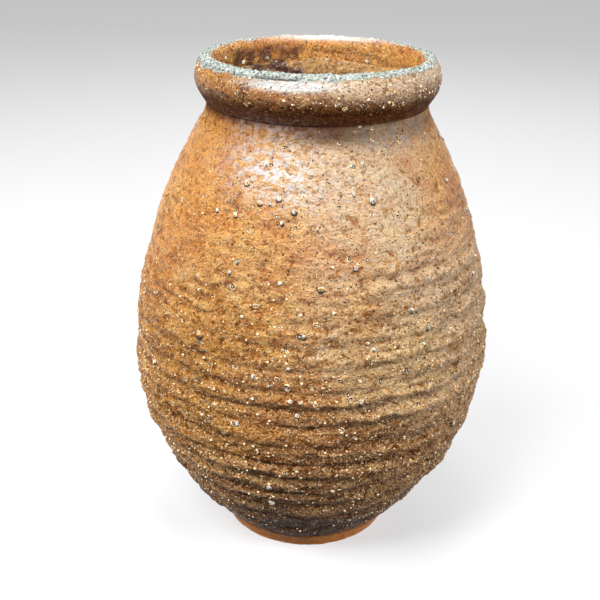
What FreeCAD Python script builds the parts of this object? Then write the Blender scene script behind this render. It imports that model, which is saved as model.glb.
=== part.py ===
"""Hand-built stoneware storage jar, 400 mm tall, in millimetres.

The jar is raised from pieces of clay that are luted edge to edge: a floor slab, a coil thumbed into
the corner over it, three wall stages of about five coils each, a neck collar whose lip turns outward,
a coil smeared over the seam inside the neck, and a thick coil rolled round the neck under the lip.
+Z is up, and the origin is the centre of the face that the jar stands on.
"""
import FreeCAD
import Part

import math
import os

# Outer form of the wall
jar_height = 400.0
belly_radius = 143.2       # widest place
belly_height = 160.0
belly_fullness = 1.82      # exponent of the curve from heel to belly
heel_radius = 77.4         # where the wall leaves the floor slab

# Wall thickness, measured square to the wall
heel_wall = 13.0
shoulder_wall = 9.5

# Floor slab
slab_thickness = 13.5
foot_radius = 69.8         # the slab's edge flares from here to just under the heel
foot_edge_round = 3.0
heel_overhang = 1.0        # the lowest coil stands out over the slab's edge
heel_rise = 2.0

# Coil thumbed into the corner between floor and wall
floor_coil_width = 15.0
floor_coil_height = 14.0
floor_coil_hollow = 3.0

# Coils of the wall. A groove marks each joint between two coils, and grooves are given as
# shares of the wall's height, from the floor up to the neck seam.
groove_height_shares = (
    0.103, 0.163, 0.213, 0.264, 0.311, 0.352, 0.401,
    0.449, 0.491, 0.534, 0.580, 0.629, 0.674, 0.716,
)
lower_coil_count = 8       # coils of the lower stage, up to its seam
belly_coil_count = 6       # coils of the belly stage
coil_ridge = 1.4           # how far a coil rounds out over its two grooves near the belly
ridge_fade_share = 0.5     # part of it that is lost towards foot and shoulder
seam_drop = 6.0            # each stage seam is bevelled down towards the inside

# Neck and its turned lip
mouth_radius = 78.0
collar_thickness = 7.2
neck_rise = 15.0           # from the neck seam to the crease under the rim
neck_straight = 6.0        # the neck stands upright for this last stretch
lip_overlap = 14.0         # height of the rim coil's bed against the neck, below the crest
lip_edge_drop = 3.0        # the lip's outer edge lies this far below the crest
mouth_edge_drop = 12.0     # the rounding of the mouth ends this far below the crest

# Rolled rim
rim_height = 35.0          # crease to crest
rim_overhang = 8.0         # beyond the neck
rim_widest_drop = 15.0     # widest place of the rim, below the crest
rim_side_height = 7.0      # the rim's side falls this far before it turns in
crest_inset = 6.6          # the crest lies this far outside the mouth

# Coil smeared over the neck seam on the inside
seam_coil_drop = 20.0      # its upper edge, below the crest
seam_coil_thickness = 3.0
seam_coil_edge = 4.0       # height of its rounded upper edge
seam_coil_tail = 11.0      # it thins out this far below the inner end of the seam


def vec(radius, height):
    """A point of the half section, which lies in the XZ plane."""
    return FreeCAD.Vector(radius, 0, height)


def line(start, end):
    return Part.LineSegment(start, end).toShape()


def arc(start, middle, end):
    return Part.Arc(start, middle, end).toShape()


def bulged(start, end, bulge):
    """An arc that stands out by bulge on the right of the way from start to end."""
    way = end - start
    side = FreeCAD.Vector(way.z, 0, -way.x).normalize()
    return arc(start, (start + end) * 0.5 + side * bulge, end)


def bent(*poles):
    """A smooth bend that leaves its first pole and reaches its last one along its sides."""
    curve = Part.BezierCurve()
    curve.setPoles(list(poles))
    return curve.toShape()


def turned(edges):
    """The solid that a closed half section makes when it turns once about the jar's axis."""
    face = Part.Face(Part.Wire(edges))
    solid = face.revolve(FreeCAD.Vector(0, 0, 0), FreeCAD.Vector(0, 0, 1), 360)
    if solid.ShapeType != "Solid":
        solid = Part.Solid(Part.Shell(solid.Faces))
    if solid.Volume < 0:
        solid.reverse()
    return solid


# Levels and radii that follow from the sizes above
heel_height = slab_thickness + heel_rise
crease_height = jar_height - rim_height
wall_height = crease_height - neck_rise
neck_radius = mouth_radius + collar_thickness
rim_radius = neck_radius + rim_overhang
crest_radius = mouth_radius + crest_inset
grooves = [share * wall_height for share in groove_height_shares]
lower_seam = grooves[lower_coil_count - 1]
upper_seam = grooves[lower_coil_count + belly_coil_count - 1]

# The shoulder is one arc, upright at the belly, that would meet the upright of the neck.
shoulder_rise = crease_height - neck_straight - belly_height
shoulder_run = belly_radius - neck_radius
shoulder_arc = (shoulder_rise ** 2 + shoulder_run ** 2) / (2 * shoulder_run)


def outer_radius(height):
    """Radius of the smooth outer wall, at the bottom of the grooves."""
    if height >= belly_height:
        rise = height - belly_height
        return belly_radius - shoulder_arc + math.sqrt(shoulder_arc ** 2 - rise ** 2)
    share = (height - heel_height) / (belly_height - heel_height)
    return heel_radius + (belly_radius - heel_radius) * (1 - (1 - share) ** belly_fullness)


def outer_slope(height):
    """Change of the outer radius per unit of height."""
    if height >= belly_height:
        rise = height - belly_height
        return -rise / math.sqrt(shoulder_arc ** 2 - rise ** 2)
    span = belly_height - heel_height
    share = (height - heel_height) / span
    return (belly_radius - heel_radius) * belly_fullness * (1 - share) ** (belly_fullness - 1) / span


def outer(height):
    return vec(outer_radius(height), height)


def inner(height):
    """The point of the inner wall that faces the outer wall at this height."""
    share = (height - heel_height) / (wall_height - heel_height)
    thickness = heel_wall + (shoulder_wall - heel_wall) * share
    slope = outer_slope(height)
    step = thickness / math.hypot(1, slope)
    return vec(outer_radius(height) - step, height + slope * step)


def between(low, high, share):
    return low + (high - low) * share


# The inner wall is one smooth curve, shared by the three stages and the two coils that lie on it.
inner_heel = inner(heel_height)
floor_corner = vec(inner_heel.x - (inner_heel.z - slab_thickness) * outer_slope(heel_height), slab_thickness)
lower_lute, upper_lute, neck_lute = (inner(seam - seam_drop) for seam in (lower_seam, upper_seam, wall_height))
knot_shares = (0.3, 0.65)
inner_knots = [floor_corner]
inner_knots += [inner(between(heel_height, lower_seam, share)) for share in knot_shares]
inner_knots += [lower_lute, inner(between(lower_seam, upper_seam, knot_shares[1])), upper_lute]
inner_knots += [inner(between(upper_seam, wall_height, share)) for share in knot_shares]
inner_knots += [neck_lute]
inner_curve = Part.BSplineCurve()
inner_curve.interpolate(Points=inner_knots)


def inner_point(height):
    """The point of the inner curve at a height, found by halving."""
    low, high = inner_curve.FirstParameter, inner_curve.LastParameter
    for _ in range(60):
        middle = between(low, high, 0.5)
        if inner_curve.value(middle).z < height:
            low = middle
        else:
            high = middle
    return inner_curve.value(low)


def inner_edge(start, end):
    """The stretch of the inner curve between two of its points."""
    low, high = sorted((inner_curve.parameter(start), inner_curve.parameter(end)))
    return Part.Edge(inner_curve, low, high)


def coil_ridges(bottom, top):
    """Outer edges of a stage: each coil rounds out between its two grooves."""
    heights = [bottom, *(height for height in grooves if bottom < height < top), top]
    edges = []
    for low, high in zip(heights, heights[1:]):
        offset = between(low, high, 0.5) - belly_height
        reach = belly_height - heel_height if offset < 0 else upper_seam - belly_height
        fade = 1 - ridge_fade_share * min(abs(offset) / reach, 1)
        edges.append(bulged(outer(low), outer(high), coil_ridge * fade))
    return edges


def make_base_slab():
    """Flat floor slab with a flared edge, rounded where it meets the ground."""
    round_start = vec(foot_radius - foot_edge_round, 0)
    round_end = vec(foot_radius, foot_edge_round)
    edge_top = vec(heel_radius - heel_overhang, slab_thickness)
    return turned([
        line(vec(0, 0), round_start),
        bent(round_start, vec(foot_radius, 0), round_end),
        line(round_end, edge_top),
        line(edge_top, vec(0, slab_thickness)),
        line(vec(0, slab_thickness), vec(0, 0)),
    ])


def make_floor_coil():
    """Coil thumbed into the corner over the slab, hollow on its open side."""
    top = inner_point(slab_thickness + floor_coil_height)
    toe = vec(floor_corner.x - floor_coil_width, slab_thickness)
    return turned([
        line(toe, floor_corner),
        inner_edge(floor_corner, top),
        bulged(toe, top, floor_coil_hollow),
    ])


def make_lower_wall():
    """Lower stage of the wall, standing on the slab."""
    toe = vec(heel_radius - heel_overhang, slab_thickness)
    return turned([
        line(floor_corner, toe),
        line(toe, outer(heel_height)),
        *coil_ridges(heel_height, lower_seam),
        line(outer(lower_seam), lower_lute),
        inner_edge(lower_lute, floor_corner),
    ])


def make_belly_wall():
    """Middle stage, between two bevelled seams."""
    return turned([
        *coil_ridges(lower_seam, upper_seam),
        line(outer(upper_seam), upper_lute),
        inner_edge(upper_lute, lower_lute),
        line(lower_lute, outer(lower_seam)),
    ])


def make_shoulder_wall():
    """Upper stage, scraped smooth, up to the neck seam."""
    bottom, top = outer(upper_seam), outer(wall_height)
    return turned([
        arc(bottom, outer(between(upper_seam, wall_height, 0.5)), top),
        line(top, neck_lute),
        inner_edge(neck_lute, upper_lute),
        line(upper_lute, bottom),
    ])


# Points of the neck and rim that more than one piece uses
crease = vec(neck_radius, crease_height)
crest = vec(crest_radius, jar_height)
rim_widest = vec(rim_radius, jar_height - rim_widest_drop)
bed_top = vec(neck_radius, jar_height - lip_overlap)
mouth_edge = vec(mouth_radius, jar_height - mouth_edge_drop)
mouth_foot = vec(mouth_radius, crease_height)


def quarter(top, side):
    """Quarter of an oval from its top point round to its side point."""
    centre = vec(top.x, side.z)
    across, up = side - centre, top - centre
    tall = up.Length > across.Length
    return Part.Ellipse(top if tall else side, side if tall else top, centre)


def quarter_point(top, side, height):
    """The point of that quarter at a height."""
    rise = (height - side.z) / (top.z - side.z)
    return vec(top.x + (side.x - top.x) * math.sqrt(1 - rise ** 2), height)


def quarter_edge(top, side, start, end):
    """The stretch of that quarter between two of its points."""
    oval = quarter(top, side)
    low, high = sorted((oval.parameter(start), oval.parameter(end)))
    if high - low > math.pi:
        low, high = high, low + 2 * math.pi
    return Part.Edge(oval, low, high)


lip_edge = quarter_point(crest, rim_widest, jar_height - lip_edge_drop)


def inner_neck_edges(top):
    """Inner face of the collar from a point of it down to the neck seam."""
    return [line(top, mouth_foot), bent(mouth_foot, vec(mouth_radius, wall_height), neck_lute)]


def make_neck_collar():
    """Neck collar with its lip turned outward over the rim coil."""
    bottom = outer(wall_height)
    return turned([
        bent(bottom, vec(neck_radius, crease_height - neck_straight), crease),
        line(crease, bed_top),
        line(bed_top, lip_edge),
        quarter_edge(crest, rim_widest, lip_edge, crest),
        quarter_edge(crest, mouth_edge, crest, mouth_edge),
        *inner_neck_edges(mouth_edge),
        line(neck_lute, bottom),
    ])


def make_rim_roll():
    """Coil rolled round the neck, bedded under the turned lip."""
    return turned([
        bent(crease, vec(rim_radius, rim_widest.z - rim_side_height), rim_widest),
        quarter_edge(crest, rim_widest, rim_widest, lip_edge),
        line(lip_edge, bed_top),
        line(bed_top, crease),
    ])


def make_neck_seam_coil():
    """Coil smeared over the neck seam on the inside, with a blunt upper edge."""
    edge = vec(mouth_radius, jar_height - seam_coil_drop)
    face_radius = mouth_radius - seam_coil_thickness
    face_top = vec(face_radius, edge.z - seam_coil_edge)
    tail = inner_point(neck_lute.z - seam_coil_tail)
    return turned([
        *inner_neck_edges(edge),
        inner_edge(neck_lute, tail),
        bent(tail, vec(face_radius, neck_lute.z), face_top),
        bent(face_top, vec(face_radius, edge.z), edge),
    ])


parts = {
    "base_slab": make_base_slab,
    "floor_coil": make_floor_coil,
    "lower_wall": make_lower_wall,
    "belly_wall": make_belly_wall,
    "shoulder_wall": make_shoulder_wall,
    "neck_collar": make_neck_collar,
    "neck_seam_coil": make_neck_seam_coil,
    "rim_roll": make_rim_roll,
}

os.makedirs("parts", exist_ok=True)
for name, make in parts.items():
    solid = make()
    if not solid.isValid():
        raise ValueError(name + " is not a valid solid")
    solid.exportStep("parts/" + name + ".step")
    print(name, "volume in ml", round(solid.Volume / 1000))
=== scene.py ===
"""Looks of the hand-built stoneware jar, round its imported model. All lengths are in metres.

One skin runs from the foot over the rim and down to the floor inside. It is worked out once, as rows
round the jar, with its coils, lumps, crust and crack as real relief, and each CAD node is replaced by
a closed piece that takes its stretch of that skin. Azimuth 0 faces the camera, and 90 is its right.
"""

import itertools
import math

import bmesh
import bpy
import numpy as np
from mathutils import Matrix, Vector


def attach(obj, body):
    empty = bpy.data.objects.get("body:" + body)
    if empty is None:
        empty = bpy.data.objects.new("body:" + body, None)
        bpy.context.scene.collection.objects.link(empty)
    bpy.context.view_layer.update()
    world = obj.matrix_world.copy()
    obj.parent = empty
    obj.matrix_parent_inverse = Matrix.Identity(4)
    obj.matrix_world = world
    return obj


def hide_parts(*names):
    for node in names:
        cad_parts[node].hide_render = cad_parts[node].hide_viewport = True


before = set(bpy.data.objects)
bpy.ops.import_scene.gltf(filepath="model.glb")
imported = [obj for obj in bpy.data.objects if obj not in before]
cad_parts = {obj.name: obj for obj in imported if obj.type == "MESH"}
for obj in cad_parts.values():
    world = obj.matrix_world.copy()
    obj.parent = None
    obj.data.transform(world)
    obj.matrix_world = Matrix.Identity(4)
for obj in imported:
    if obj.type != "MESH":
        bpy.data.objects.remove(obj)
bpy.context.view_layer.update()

mm = 0.001

# Sizes of the jar, as in the model
jar_height = 400 * mm
belly_radius = 143.2 * mm
belly_height = 160 * mm
belly_fullness = 1.82
heel_radius = 77.4 * mm
heel_wall = 13 * mm
shoulder_wall = 9.5 * mm
slab_thickness = 13.5 * mm
foot_radius = 69.8 * mm
foot_edge_round = 3 * mm
heel_overhang = 1 * mm
heel_rise = 2 * mm
floor_coil_width = 15 * mm
floor_coil_height = 14 * mm
floor_coil_hollow = 3 * mm
seam_drop = 6 * mm
mouth_radius = 78 * mm
collar_thickness = 7.2 * mm
neck_rise = 15 * mm
neck_straight = 6 * mm
lip_edge_drop = 3 * mm
mouth_edge_drop = 12 * mm
rim_height = 35 * mm
rim_overhang = 8 * mm
rim_widest_drop = 15 * mm
rim_side_height = 7 * mm
crest_inset = 6.6 * mm
seam_coil_drop = 20 * mm
seam_coil_thickness = 3 * mm
seam_coil_edge = 4 * mm
seam_coil_tail = 11 * mm

heel_height = slab_thickness + heel_rise
crease_height = jar_height - rim_height
wall_height = crease_height - neck_rise
neck_radius = mouth_radius + collar_thickness
rim_radius = neck_radius + rim_overhang
crest_radius = mouth_radius + crest_inset

# Grooves between the coils, as shares of the wall's height. Those above the belly are scraped nearly away.
groove_height_shares = (
    0.103, 0.163, 0.213, 0.264, 0.311, 0.352, 0.401, 0.449, 0.491, 0.534,
    0.580, 0.629, 0.674, 0.716, 0.763, 0.809, 0.856, 0.903,
)
lower_coil_count = 8
belly_coil_count = 6
grooves = np.array([0.0, *groove_height_shares, 1.0]) * wall_height
grooves[0] = heel_height
lower_seam = grooves[lower_coil_count]
upper_seam = grooves[lower_coil_count + belly_coil_count]

# How the skin is divided: points on its curves, columns round it, and steps along it
bend_points = 60
stage_points = 200
lower_points = 300
inner_points = 400
columns = 720
lower_step = 1.6 * mm
wall_step = 1.35 * mm
neck_step = 1.0 * mm
rim_step = 0.85 * mm
inner_step = 6 * mm
floor_coil_step = 3 * mm
seam_coil_step = 1.2 * mm

# The jar leans a little to the right, and sways to the left low down.
lean = 0.0089
sway_depth = 0.9 * mm

# Coils, scrapes and small coils, the crust and crack of the lip, and how full the rim is
ridge_depth = 3.9 * mm
ridge_heights = np.array([0, 16, 45, 80, 110, 170, 205, 235, 260, 330, 350, 400]) * mm
ridge_shares = (0, 0.3, 0.55, 0.85, 1.0, 0.85, 0.45, 0.26, 0.16, 0.06, 0, 0)
coil_strengths = (0.75, 1.25)
coil_seed = 3
waver = 2.4 * mm
groove_width = 5.4 * mm
scrape_depth = 1.2 * mm
scrape_heights = np.array([0, 60, 200, 260, 320, 350]) * mm
scrape_shares = (0.3, 0.8, 1.0, 0.85, 0.3, 0.1)
small_coil_depth = 1.5 * mm
crust_rise = 1.2 * mm
crack_azimuth = 342
crack_depth = 2.4 * mm
left_fullness = 1.0 * mm
right_fullness = 0.5 * mm

# Slant of the painted glare on the shoulder, in degrees, and the edge of the dry clay under the rim
glare_centre = 338 * mm
glare_slant = 0.3 / mm
dry_height = 380 * mm
dry_stray = 2.5 * mm
dry_lumps = 4 * mm
dry_seed = 51

# Uneven forms, each a sum of noises: strength, width and height of the lumps in millimetres, and seed
uneven_forms = {
    "wander": [(0.62, 70, 40, 11), (0.3, 25, 20, 12), (0.3, 9, 7, 44)],
    "coils": [(0.9, 55, 10, 13), (0.5, 16, 8, 41)],
    "scrapes": [(0.6, 13, 3.2, 14), (0.5, 6.5, 2.6, 15)],
    "scrape_patches": [(0.7, 34, 12, 50)],
    "small_coils": [(1, 48, 6.2, 49)],
    "lumps": [(0.45, 16, 16, 16), (0.32, 7, 7, 17)],
    "grit": [(0.3, 3.8, 3.8, 18), (0.26, 2.4, 2.4, 19)],
    "crust_edge": [(1.3, 9, 9, 21), (0.9, 3, 3, 22)],
    "crumbs": [(1, 2.6, 2.6, 23)],
    "small_crumbs": [(0.6, 1.6, 1.6, 24)],
    "crack_gaps": [(1, 9, 30, 42)],
    "crack_line": [(0.5, 6, 6, 25)],
    "seam_coil": [(1.3, 6, 4, 26), (0.8, 2.6, 2.6, 48)],
    "seam_coil_edge": [(5, 27, 60, 28), (2, 8, 40, 29)],
    "inside": [(0.8, 40, 9, 27)],
    "groove_width": [(0.6, 17, 6, 45)],
    "groove_gaps": [(1, 30, 5, 31), (0.5, 4, 4, 32)],
    "drift": [(12, 45, 45, 33), (7, 16, 16, 34)],
    "char_edge": [(14, 40, 16, 35)],
    "under_edge": [(1.5, 18, 60, 43)],
    "bare_edge": [(1.8, 20, 60, 36)],
    "inner_shadow_edge": [(4, 60, 7, 46)],
    "inner_shadow_streaks": [(0.8, 7, 9, 47), (0.6, 3.5, 3.5, 52)],
}

# Sides of the jar where something gathers: middle and spread in degrees
sides = {
    "crust_back": (185, 62), "crust_front": (352, 34), "crust_left": (285, 42), "edge_back": (165, 34),
    "ash_back": (205, 40), "char_front": (16, 36), "far_lip_highlight": (150, 24), "under_left": (325, 50),
    "under_right": (52, 30), "shade_neck": (4, 26), "shade_foot": (8, 60), "lip_highlight_front": (347, 18),
    "lip_highlight_right": (65, 35), "lip_highlight_back": (174, 26), "warm": (285, 45), "pink_rim_highlight": (50, 40),
    "rim_grains": (42, 42),
}

# Patches: middle and spread in degrees, then height and reach in millimetres
patches = {
    "strong_ridges": (52, 28, 222, 45), "rough_right": (52, 28, 200, 60), "full_left": (265, 60, 378, 8),
    "full_right": (95, 60, 377, 7), "low_ash": (33, 30, 200, 34), "glow_high": (346, 31, 322, 36),
    "glow_low": (338, 28, 248, 40), "painted_glare": (344, 23, 334, 20), "front_middle_shade": (357, 14, 180, 62),
    "grey": (38, 24, 357, 11), "pink_wall": (58, 26, 205, 70),
}

# Slopes: nothing at the first place, in millimetres, and all at the second
slopes = {
    "rough_low": (290, 160), "ash_turn": (320, 190), "ash_spread": (320, 230), "ash_front": (70, 150),
    "ash_back": (150, 250), "ash_roll": (388, 376), "under_roll": (384, 371), "under_neck": (360, 366),
    "rim_underside_shade": (392, 378), "shade_neck": (346, 358), "shade_foot": (85, 35), "inner_shadow_lip": (398, 390),
    "deep_inner_shade": (330, 180), "warm": (60, 160), "pink_rim_highlight": (374, 385), "rim_grains": (372, 380),
    "above_foot": (18, 30), "pitted": (110, 200), "foot": (0, 3), "coil_edge": (0, 3), "bare": (4.2, 2.6),
    "crust_outer": (-0.8, 0.8), "crust_inner": (1.2, -1.2), "far_lip_highlight": (4, 9), "pool_lip": (4, 8),
}

# The same round the jar, in degrees
arcs = {
    "inner_shadow_start": (188, 192), "inner_shadow_end": (265, 222), "pool_end": (187, 182), "crack_left": (-14, -9),
    "crack_right": (13, 8), "unseen": (45, 60),
}

# Bands: middle and reach in millimetres
bands = {
    "sway": (52, 34), "crease": (0, 8), "coil_edge": (6, 8), "crack": (1.4, 0.75), "pool": (3, 2.4),
    "lip_highlight_front": (-3.4, 3.2), "lip_highlight_right": (-5, 5), "lip_highlight_back": (2.6, 2.8),
}

# Lengths in millimetres that change round the jar, with what each side adds to them
lengths = {
    "crust_inner": (4.4, {"crust_back": -3.6}),
    "crust_outer": (5.4, {"crust_left": 3.2, "crust_front": 1.5, "crust_back": -1.6}),
    "coil_edge": (0, {"edge_back": 5.5}),
    "char_top": (152, {"char_front": 28}),
    "char_fade": (66, {"char_front": -32}),
    "under_neck": (0, {"under_left": 4, "under_right": -2.5}),
}

# Camera, fitted to the photograph
camera_place = Vector((-7.8 * mm, -783.2 * mm, 534.8 * mm))
camera_pitch = math.radians(23.34)
camera_roll = math.radians(0.86)
image_size = 600
focal_pixels = 1022
sensor_width = 36

# Studio: each lamp has its place, size and power, and all aim at one point
stage_size = 12.0
stage_glow = 0.5
world_light = 0.05
world_seen = 0.6
lamp_aim = (0, 0, 0.3)
lamps = {
    "key_light": ((-0.6, -1.05, 1.75), 0.7, 30),
    "glare_light": ((-0.95, -0.95, 1.1), 0.35, 12),
    "left_light": ((-1.6, -0.4, 1.05), 0.8, 30),
    "right_light": ((1.45, -0.85, 0.9), 0.8, 37),
    "top_light": ((0, 0, 1.9), 0.8, 16),
    "back_light": ((0.2, 1.5, 1.5), 1.0, 16),
}

# Grains and pits seen on the front: azimuth in degrees, height and radius in millimetres
front_grains = np.array([
    (-28, 325, 1.8), (-21, 314, 2.0), (-14, 317, 1.7), (-17, 313, 1.1), (-8, 310, 1.9), (-30, 304, 2.0),
    (-38, 304, 1.4), (-47, 300, 1.2), (-12, 303, 1.7), (21, 316, 2.2), (14, 339, 1.4), (19, 340, 1.4),
    (14, 321, 1.4), (-26, 273, 1.7), (-28, 265, 1.4), (-22, 282, 1.4), (-11, 263, 1.7), (2, 261, 2.4),
    (6, 244, 1.4), (-3, 227, 1.8), (-22, 237, 1.4), (-36, 217, 2.8), (-17, 195, 1.7), (13, 273, 1.7),
    (37, 224, 1.8), (16, 221, 1.7), (-6, 180, 1.7), (-22, 155, 1.8), (-4, 167, 1.7), (-13, 98, 1.9),
    (-34, 199, 1.6), (-7, 203, 1.6), (-3, 180, 1.5), (-34, 153, 1.7), (8, 97, 1.8), (-13, 76, 2.4),
    (-22, 106, 1.7), (14, 178, 2.2), (35, 213, 1.6), (18, 216, 1.8), (39, 157, 1.6), (31, 239, 1.9),
]) * (1, mm, mm)
inner_grains = np.array([
    (248, 391, 1.7), (230, 384, 1.9), (212, 385, 1.6), (206, 380, 1.5), (148, 383, 2.0),
]) * (1, mm, mm)
front_pits = np.array([
    (-15, 349, 1.4), (-19, 338, 1.7), (-22, 344, 0.8), (-17, 356, 1.1), (-33, 327, 0.9), (-7, 300, 1.4),
    (1, 300, 1.4), (-2, 342, 0.9), (30, 304, 1.5), (48, 308, 0.9), (-26, 256, 1.9), (-23, 199, 1.4),
    (11, 281, 1.1), (34, 251, 1.4), (20, 191, 1.9), (-7, 190, 2.2), (-8, 217, 1.4), (29, 346, 0.9),
    (-23, 200, 1.4), (-17, 195, 1.5), (-10, 195, 1.8), (-12, 190, 1.4), (-23, 154, 1.6), (-4, 227, 1.9),
    (3, 185, 1.4), (9, 155, 1.7), (6, 244, 1.4), (8, 195, 1.9), (37, 226, 1.8), (34, 204, 1.9),
    (28, 197, 2.2), (43, 139, 1.6), (11, 181, 1.5),
]) * (1, mm, mm)
scatter_seed = 7
large_grain_count = 90
large_grain_radii = (1.1, 2.2)
small_grain_count = 5000
small_grain_radius = 0.4
small_grain_growth = 1.0
pit_count = 1000
pit_radius = 0.45
pit_growth = 1.0
filled_pit_radius = 0.75 * mm


# Noise that the relief and the masks are made of

# Large odd numbers that scatter whole places and seeds, one that folds the result, and masks of low bits
scatter_factors = (73856093, 19349663, 83492791, 2654435761)
fold_factor = 1274126177
low_32_bits = 0xFFFFFFFF
low_16_bits = 0xFFFF


def corner_values(*place_and_seed):
    """A random value from -1 to 1 at each whole place."""
    h = 0
    for value, factor in zip(place_and_seed, scatter_factors):
        h = h ^ (value * factor)
    h &= low_32_bits
    h = ((h ^ (h >> 13)) * fold_factor) & low_32_bits
    h ^= h >> 16
    return (h & low_16_bits) / (low_16_bits / 2) - 1.0


def noise(points, size, seed):
    """Smooth noise from -1 to 1, with lumps of about this size. size may differ on each axis."""
    scaled = points / np.asarray(size, float)
    whole = np.floor(scaled).astype(np.int64)
    part = scaled - whole
    ease = part * part * part * (part * (part * 6 - 15) + 10)
    total = 0.0
    for corner in itertools.product((0, 1), repeat=3):
        wx, wy, wz = (ease[..., k] if side else 1 - ease[..., k] for k, side in enumerate(corner))
        places = (whole[..., k] + side for k, side in enumerate(corner))
        total = total + wx * wy * wz * corner_values(*places, seed)
    return total


def smooth(value, low, high):
    """0 below low, 1 above high, eased between. low may be the higher one."""
    share = np.clip((value - low) / (high - low), 0, 1)
    return share * share * (3 - 2 * share)


def bell(value, middle, width):
    return np.exp(-(((value - middle) / width) ** 2))


def turn_from(azimuth, middle):
    """Degrees from a middle azimuth, the short way round."""
    return (azimuth - middle + 180) % 360 - 180


# The half section, from the foot over the rim and down the inside

shoulder_rise = crease_height - neck_straight - belly_height
shoulder_run = belly_radius - neck_radius
shoulder_arc = (shoulder_rise ** 2 + shoulder_run ** 2) / (2 * shoulder_run)


def outer_curve(height):
    """Radius of the outer wall at this height, and its slope there."""
    height = np.asarray(height, float)
    rise = np.clip(height - belly_height, 0, shoulder_rise)
    run = np.sqrt(shoulder_arc ** 2 - rise ** 2)
    above = belly_radius - shoulder_arc + run
    span = belly_height - heel_height
    share = np.clip((height - heel_height) / span, 0, 1)
    swell = belly_radius - heel_radius
    below = heel_radius + swell * (1 - (1 - share) ** belly_fullness)
    below_slope = swell * belly_fullness * (1 - share) ** (belly_fullness - 1) / span
    high = height >= belly_height
    return np.where(high, above, below), np.where(high, -rise / run, below_slope)


def outer(height):
    return np.stack([outer_curve(height)[0], np.asarray(height, float)], -1)


def inner(height):
    """The inner wall's point that faces the outer wall at this height."""
    share = (np.asarray(height, float) - heel_height) / (wall_height - heel_height)
    thickness = heel_wall + (shoulder_wall - heel_wall) * share
    radius, slope = outer_curve(height)
    step = thickness / np.hypot(1, slope)
    return np.stack([radius - step, height + slope * step], -1)


def bent(*poles):
    """A bend with these poles: its first and last are its ends."""
    t = np.linspace(0, 1, bend_points)[:, None]
    a, b, c = (np.array(pole, float) for pole in poles)
    return a * (1 - t) ** 2 + b * 2 * t * (1 - t) + c * t ** 2


def quarter(top, side, start, end):
    """Part of the quarter oval between its top and its side, from one height to another."""
    rise = np.clip((np.array([start, end]) - side[1]) / (top[1] - side[1]), 0, 1)
    turn = np.linspace(*np.arcsin(rise), bend_points)
    outwards = (side[0] - top[0]) * np.cos(turn)
    upwards = (top[1] - side[1]) * np.sin(turn)
    return np.stack([top[0] + outwards, side[1] + upwards], -1)


def even(path, step):
    """The path with evenly spaced points, about step apart."""
    path = np.array([point for k, point in enumerate(path) if k == 0 or math.dist(point, path[k - 1]) > 0])
    along = np.concatenate([[0], np.cumsum(np.linalg.norm(np.diff(path, axis=0), axis=1))])
    count = max(2, round(along[-1] / step) + 1)
    places = np.linspace(0, along[-1], count)
    return np.stack([np.interp(places, along, path[:, k]) for k in (0, 1)], -1)


def inner_run(top, bottom):
    """The inner wall from a higher to a lower height, both given as heights of its own points."""
    path = inner(np.linspace(wall_height, heel_height, inner_points))
    keep = (path[:, 1] < top) & (path[:, 1] > bottom)
    ends = [np.array([np.interp(h, path[::-1, 1], path[::-1, 0]), h]) for h in (top, bottom)]
    return [ends[0], *path[keep], ends[1]]


crease = (neck_radius, crease_height)
crest = (crest_radius, jar_height)
widest = (rim_radius, jar_height - rim_widest_drop)
mouth_edge = (mouth_radius, jar_height - mouth_edge_drop)
seam_coil_top = (mouth_radius, jar_height - seam_coil_drop)
coil_face = (mouth_radius - seam_coil_thickness, jar_height - seam_coil_drop - seam_coil_edge)
lip_height = jar_height - lip_edge_drop
seams = (wall_height, upper_seam, lower_seam)
neck_lute, upper_lute, lower_lute = (inner(seam - seam_drop) for seam in seams)
inner_heel = inner(heel_height)
floor_corner = inner_heel[0] - (inner_heel[1] - slab_thickness) * float(outer_curve(heel_height)[1])
foot_side = (heel_radius - heel_overhang, slab_thickness)
foot_bend = bent((foot_radius - foot_edge_round, 0), (foot_radius, 0), (foot_radius, foot_edge_round))
tail_height = neck_lute[1] - seam_coil_tail
tail = inner_run(tail_height, upper_lute[1])[0]
floor_coil_top = slab_thickness + floor_coil_height
coil_top_point = inner_run(lower_lute[1], floor_coil_top)[-1]
floor_toe = (floor_corner - floor_coil_width, slab_thickness)
hollow_middle = (
    (floor_toe[0] + coil_top_point[0]) / 2 + floor_coil_hollow,
    (floor_toe[1] + coil_top_point[1]) / 2 - floor_coil_hollow)

stretches = {
    "foot": even([*foot_bend, foot_side], neck_step),
    "lower": even([foot_side, *outer(np.linspace(heel_height, lower_seam, lower_points))], lower_step),
    "belly": even(outer(np.linspace(lower_seam, upper_seam, stage_points)), wall_step),
    "shoulder": even(outer(np.linspace(upper_seam, wall_height, stage_points)), wall_step),
    "neck": even(bent(outer(wall_height), (neck_radius, crease_height - neck_straight), crease), neck_step),
    "roll": even([
        *bent(crease, (rim_radius, widest[1] - rim_side_height), widest),
        *quarter(crest, widest, widest[1], lip_height)], rim_step),
    "lip": even([
        *quarter(crest, widest, lip_height, jar_height),
        *quarter(crest, mouth_edge, jar_height, mouth_edge[1]), seam_coil_top], rim_step),
    "seam_coil": even([
        *bent(seam_coil_top, (coil_face[0], seam_coil_top[1]), coil_face),
        *bent(coil_face, (coil_face[0], neck_lute[1]), tail)], seam_coil_step),
    "inner_shoulder": even(inner_run(tail_height, upper_lute[1]), inner_step),
    "inner_belly": even(inner_run(upper_lute[1], lower_lute[1]), inner_step),
    "inner_lower": even(inner_run(lower_lute[1], floor_coil_top), inner_step),
    "floor_coil": even(bent(coil_top_point, hollow_middle, floor_toe), floor_coil_step),
    "floor": even([floor_toe, (inner_step, slab_thickness)], inner_step),
}

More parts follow.
